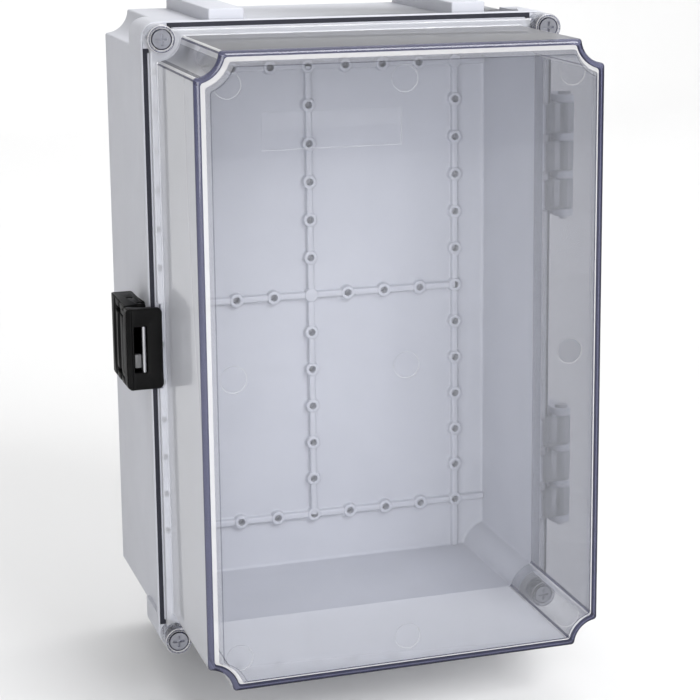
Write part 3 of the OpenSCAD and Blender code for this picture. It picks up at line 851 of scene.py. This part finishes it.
def build_latch():
    """Lever and claw with soft corners, and a wide soft edge from the claw's side to its front."""
    finishes = [MATERIALS["black_plastic"]]
    for node, corner, turn in (("latch_lever", 2.2 * MM, 1.2 * MM), ("latch_claw", 2.6 * MM, 4.5 * MM)):
        low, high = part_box(node)
        middle = (low + high) / 2
        half = (high - low) / 2
        front = 1.2 * MM
        rings = [(-high.y - OVERLAP, 0)]
        rings += [(-low.y - front + rise, inset) for inset, rise in rounding(front, 4)]
        placed = []
        for depth, inset in rings:
            outline = rounded(half.x - inset, half.z - inset, corner - inset)
            placed.append((depth, [(x + middle.x, z + middle.z) for x, z in outline]))
        mesh = kept_inside(copied(node), loft(placed), finishes)
        side = low.x + 0.1 * MM
        seen_from_above = [(high.x + OVERLAP, high.y + OVERLAP), (side, high.y + OVERLAP)]
        seen_from_above += arc((side + turn, low.y + turn), turn, math.pi, 3 * math.pi / 2, 10)
        seen_from_above += [(high.x + OVERLAP, low.y)]
        mesh = kept_inside(mesh, bar(seen_from_above, low.z - OVERLAP, high.z + OVERLAP, 0), finishes)
        link(node + "_moulding", softened(mesh, 0.4 * MM), SLOT_OF[node], BODY_OF[node], node)


def soften_nodes():
    """Moulded pieces whose CAD edges are rounded here."""
    widths = {
        "hinge_bracket_upper": 0.5, "hinge_bracket_lower": 0.5,
        "latch_lock_slide": 0.3,
        "wall_foot_top_left": 0.6, "wall_foot_top_right": 0.6,
        "wall_foot_bottom_left": 0.6, "wall_foot_bottom_right": 0.6,
    }
    for node, width in widths.items():
        link(node + "_moulding", softened(copied(node), width * MM), SLOT_OF[node], BODY_OF[node], node)


# ---------- base ----------

RECESS_D = 13 * MM
BACK_FRONT = 16.5 * MM
RIB_TOP = BACK_FRONT + 3 * MM
BOSS_TOP = BACK_FRONT + 3.5 * MM
PITCH = 20 * MM
COL_STEPS = 4
ROW_STEPS = 6
RIB_W = 3.3 * MM
RIB_SHOULDER = 0.8 * MM
BOSS_R = 3.6 * MM
BOSS_SHOULDER = 0.7 * MM
FOOT_R = 0.9 * MM
PILOT_R = 1.8 * MM
PILOT_BACK = RECESS_D + 1.5 * MM
BEAD_D = 5 * MM
BEAD_CORNER = 7.5 * MM
EAR_BACK = 70 * MM
GROOVE_IN = 1 * MM
GROOVE_DEEP = 2 * MM
INSERT_R = 2.85 * MM
INSERT_BACK = -insert_high.y
BRACKET_BACK = 66 * MM
LUG_INSIDE = 11.3 * MM
LUG_OUTSIDE = 13.5 * MM
LUG_R = 4 * MM
PAD_OUT = 6.5 * MM


def base_outline(grow):
    """The outline of the base's walls, moved outward by grow."""
    return notched(HALF_W + grow, HALF_H + grow, (HALF_W, HALF_H), NOTCH_R - grow, NOTCH_FILLET)


def bead_outline(grow):
    """The outline of the bead along the base's rim, moved outward by grow."""
    return rounded(HALF_W + BEAD + grow, HALF_H + BEAD + grow, BEAD_CORNER + grow)


def base_skin():
    """Walls, rim and both sides of the back wall in one closed skin."""
    edge = 0.8 * MM
    small = 0.35 * MM
    bead_back = RIM - BEAD_D
    rings = [(RECESS_D, base_outline(-WALL_T - edge)), (RECESS_D - edge, base_outline(-WALL_T))]
    rings += [(small, base_outline(-WALL_T)), (0, base_outline(-WALL_T + small))]
    rings += [(edge - rise, base_outline(-inset)) for inset, rise in reversed(rounding(edge, 3))]
    rings += [(bead_back - edge, base_outline(0)), (bead_back, base_outline(0.2 * MM))]
    rings += [(bead_back, bead_outline(-edge)), (bead_back + 0.3 * edge, bead_outline(-0.3 * edge))]
    rings += [(bead_back + edge, bead_outline(0))]
    rings += [(RIM - edge + rise, bead_outline(-inset)) for inset, rise in rounding(edge, 4)]
    rings += [(RIM, base_outline(GROOVE_OUT)), (RIM - GROOVE_DEEP, base_outline(GROOVE_OUT))]
    rings += [(RIM - GROOVE_DEEP, base_outline(-GROOVE_IN)), (RIM - small, base_outline(-GROOVE_IN))]
    rings += [(RIM, base_outline(-GROOVE_IN - 0.2 * MM)), (RIM, base_outline(-WALL_T + 0.1 * MM))]
    rings += [(RIM - small, base_outline(-WALL_T))]
    foot = 1.5 * MM
    rings += [(BACK_FRONT + foot, base_outline(-WALL_T))]
    rings += [
        (BACK_FRONT + foot - rise, base_outline(-WALL_T - inset)) for inset, rise in rounding(foot, 4)[1:]
    ]
    return finished(loft(rings), "skin")


def round_top(half, top, radius):
    """The upper end of a side in section, as (distance, depth), rounded at the top."""
    return [(half - inset, top - radius + rise) for inset, rise in rounding(radius, 4)]


def soft_foot(half):
    """The lower end of a side in section, from the back wall up a hollow round."""
    foot = [(half + FOOT_R, BACK_FRONT)]
    return foot + [(half + FOOT_R - rise, BACK_FRONT + inset) for inset, rise in rounding(FOOT_R, 4)[1:]]


def boss(place):
    """A screw boss with a soft foot, a round shoulder and its pilot hole."""
    lip = 0.25 * MM
    profile = [(PILOT_R, PILOT_BACK), (BOSS_R + FOOT_R, PILOT_BACK)]
    profile += soft_foot(BOSS_R) + round_top(BOSS_R, BOSS_TOP, BOSS_SHOULDER)
    profile += [(PILOT_R + lip, BOSS_TOP), (PILOT_R, BOSS_TOP - lip)]
    return lathe(profile, place, BOSS_STEPS)


def plain_boss(place):
    """A boss without a hole."""
    profile = [(0, PILOT_BACK), (BOSS_R, PILOT_BACK)] + round_top(BOSS_R, BOSS_TOP, BOSS_SHOULDER)
    return lathe(profile + [(0, BOSS_TOP)], place, BOSS_STEPS)


def rib(start, end):
    """A rib between two (x, z) points, with soft feet and a round top."""
    half = RIB_W / 2
    side = [(half + FOOT_R, BACK_FRONT - OVERLAP)] + soft_foot(half) + round_top(half, RIB_TOP, RIB_SHOULDER)
    section = side + [(-w, d) for w, d in reversed(side)]
    run = Vector((end[0] - start[0], 0, end[1] - start[1])).normalized()
    across = Vector((run.z, 0, -run.x))
    work = bmesh.new()
    rows = [
        [work.verts.new(Vector((x, -d, z)) + across * w) for w, d in section] for x, z in (start, end)
    ]
    count = len(section)
    for k in range(count):
        nxt = (k + 1) % count
        work.faces.new((rows[0][k], rows[0][nxt], rows[1][nxt], rows[1][k]))
    work.faces.new(rows[0][::-1])
    work.faces.new(rows[1])
    bmesh.ops.recalc_face_normals(work, faces=work.faces)
    return work


def grid_places():
    """(column, row) of every boss on the three columns and three rows."""
    places = []
    for i in range(-COL_STEPS, COL_STEPS + 1):
        for j in range(-ROW_STEPS, ROW_STEPS + 1):
            if abs(i) in (0, COL_STEPS) or abs(j) in (0, ROW_STEPS):
                places.append((i, j))
    return places


def is_plain(i, j):
    """Whether the boss at a column and row of the grid has no hole."""
    return (i, j) in ((0, 0), (COL_STEPS, ROW_STEPS))


def corner_ear(sx, sz):
    """The block behind a rim corner that holds the brass insert."""
    soft = 0.8 * MM
    reach = 16.5 * MM
    outer = arc((HALF_W + BEAD - BEAD_CORNER, HALF_H + BEAD - BEAD_CORNER), BEAD_CORNER, 0, math.pi / 2, 10)
    inner = arc((HALF_W, HALF_H), NOTCH_R + 1.5 * MM, -math.pi / 2, -math.pi, 10)
    outline = [(HALF_W + BEAD, HALF_H + BEAD - reach)] + outer + [(HALF_W + BEAD - reach, HALF_H + BEAD)]
    outline += [(HALF_W + BEAD - reach, HALF_H - 0.5 * MM)] + inner[::-1]
    outline += [(HALF_W - 0.5 * MM, HALF_H + BEAD - reach)]
    outline = [(sx * x, sz * z) for x, z in outline]
    work = loft([(EAR_BACK, outline), (RIM - BEAD_D / 2, outline)])
    edges = [e for e in work.edges if all(abs(v.co.y + EAR_BACK) < 1e-6 for v in e.verts)]
    rounded_edges(work, edges, soft)
    return work


def pad(sx, sz):
    """A raised pad that a wall foot is screwed onto."""
    foot_low, foot_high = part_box("wall_foot_top_right")
    front = RIM - BEAD_D - 1 * MM
    ends = sorted((sz * (HALF_H - OVERLAP), sz * (HALF_H + PAD_OUT)))
    middle = sx * (foot_low.x + foot_high.x) / 2
    half = (foot_high.x - foot_low.x) / 2
    return block((middle - half, -front, ends[0]), (middle + half, 0, ends[1]), 0.7 * MM)


def hinge_pad(side):
    """The thickened place on the right wall behind a hinge bracket."""
    low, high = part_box("hinge_bracket_upper")
    ends = sorted((side * low.z, side * high.z))
    front = RIM - BEAD_D - 0.5 * MM
    return block((HALF_W - OVERLAP, -front, ends[0]), (low.x, -BRACKET_BACK, ends[1]), 0.5 * MM)


def latch_lug(side):
    """One of the two lugs that hold the latch's pivot pin."""
    low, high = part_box("latch_pivot_pin")
    x, y = (low.x + high.x) / 2, (low.y + high.y) / 2
    back = y + 12 * MM
    outline = [(-HALF_W + OVERLAP, y - LUG_R)] + arc((x, y), LUG_R, -math.pi / 2, -math.pi, 8)
    outline += [(x - LUG_R, y + 1 * MM), (-HALF_W - 1 * MM, back), (-HALF_W + OVERLAP, back)]
    ends = sorted((side * LUG_INSIDE, side * LUG_OUTSIDE))
    return bar(outline, ends[0], ends[1], 0.3 * MM)


def build_base():
    """The skin with its corner ears and holes, and the bosses, ribs, pads and lugs that overlap it."""
    skin = base_skin()
    places = [(sx * SCREW_X, sz * SCREW_Z) for sx, sz in CORNERS]
    cuts = [hole(INSERT_R, INSERT_BACK, RIM + OVERLAP, p) for p in places]
    cuts += [
        hole(PILOT_R, PILOT_BACK, BACK_FRONT + OVERLAP, (i * PITCH, j * PITCH), PILOT_STEPS)
        for i, j in grid_places() if not is_plain(i, j)
    ]
    ears = [corner_ear(sx, sz) for sx, sz in CORNERS]
    skin = boolean(skin, joined(ears), "UNION")
    skin = boolean(skin, joined(cuts), "DIFFERENCE")
    parts = [(plain_boss if is_plain(i, j) else boss)((i * PITCH, j * PITCH)) for i, j in grid_places()]
    for i in (-COL_STEPS, 0, COL_STEPS):
        ends = HALF_H - WALL_T - 0.5 * MM if i else ROW_STEPS * PITCH
        steps = sorted({-ends, ends} | {j * PITCH for j in range(-ROW_STEPS, ROW_STEPS + 1)})
        parts += [rib((i * PITCH, a), (i * PITCH, b)) for a, b in gaps(steps, ends)]
    for j in (-ROW_STEPS, 0, ROW_STEPS):
        ends = HALF_W - WALL_T - 0.5 * MM if j else COL_STEPS * PITCH
        steps = sorted({-ends, ends} | {i * PITCH for i in range(-COL_STEPS, COL_STEPS + 1)})
        parts += [rib((a, j * PITCH), (b, j * PITCH)) for a, b in gaps(steps, ends)]
    parts += [pad(sx, sz) for sx, sz in CORNERS]
    parts += [latch_lug(side) for side in (1, -1)]
    parts += [hinge_pad(side) for side in (1, -1)]
    work = bmesh.new()
    work.from_mesh(skin)
    bpy.data.meshes.remove(skin)
    body = joined([work] + parts, "base_moulding")
    body.validate()
    shade(body)
    link("base_moulding", body, "grey_plastic", "base", "base_shell")


def gaps(steps, ends):
    """Stretches between neighbouring bosses, each cut short of the boss's hole."""
    reach = BOSS_R - 0.8 * MM
    stretches = []
    for a, b in zip(steps, steps[1:]):
        if b - a > 2 * reach:
            low = a if a <= -ends else a + reach
            high = b if b >= ends else b - reach
            stretches.append((low, high))
    return stretches


build_camera()
build_light()
build_stage()
dress_frame()
soften_nodes()
build_latch()
build_base()
build_cover()
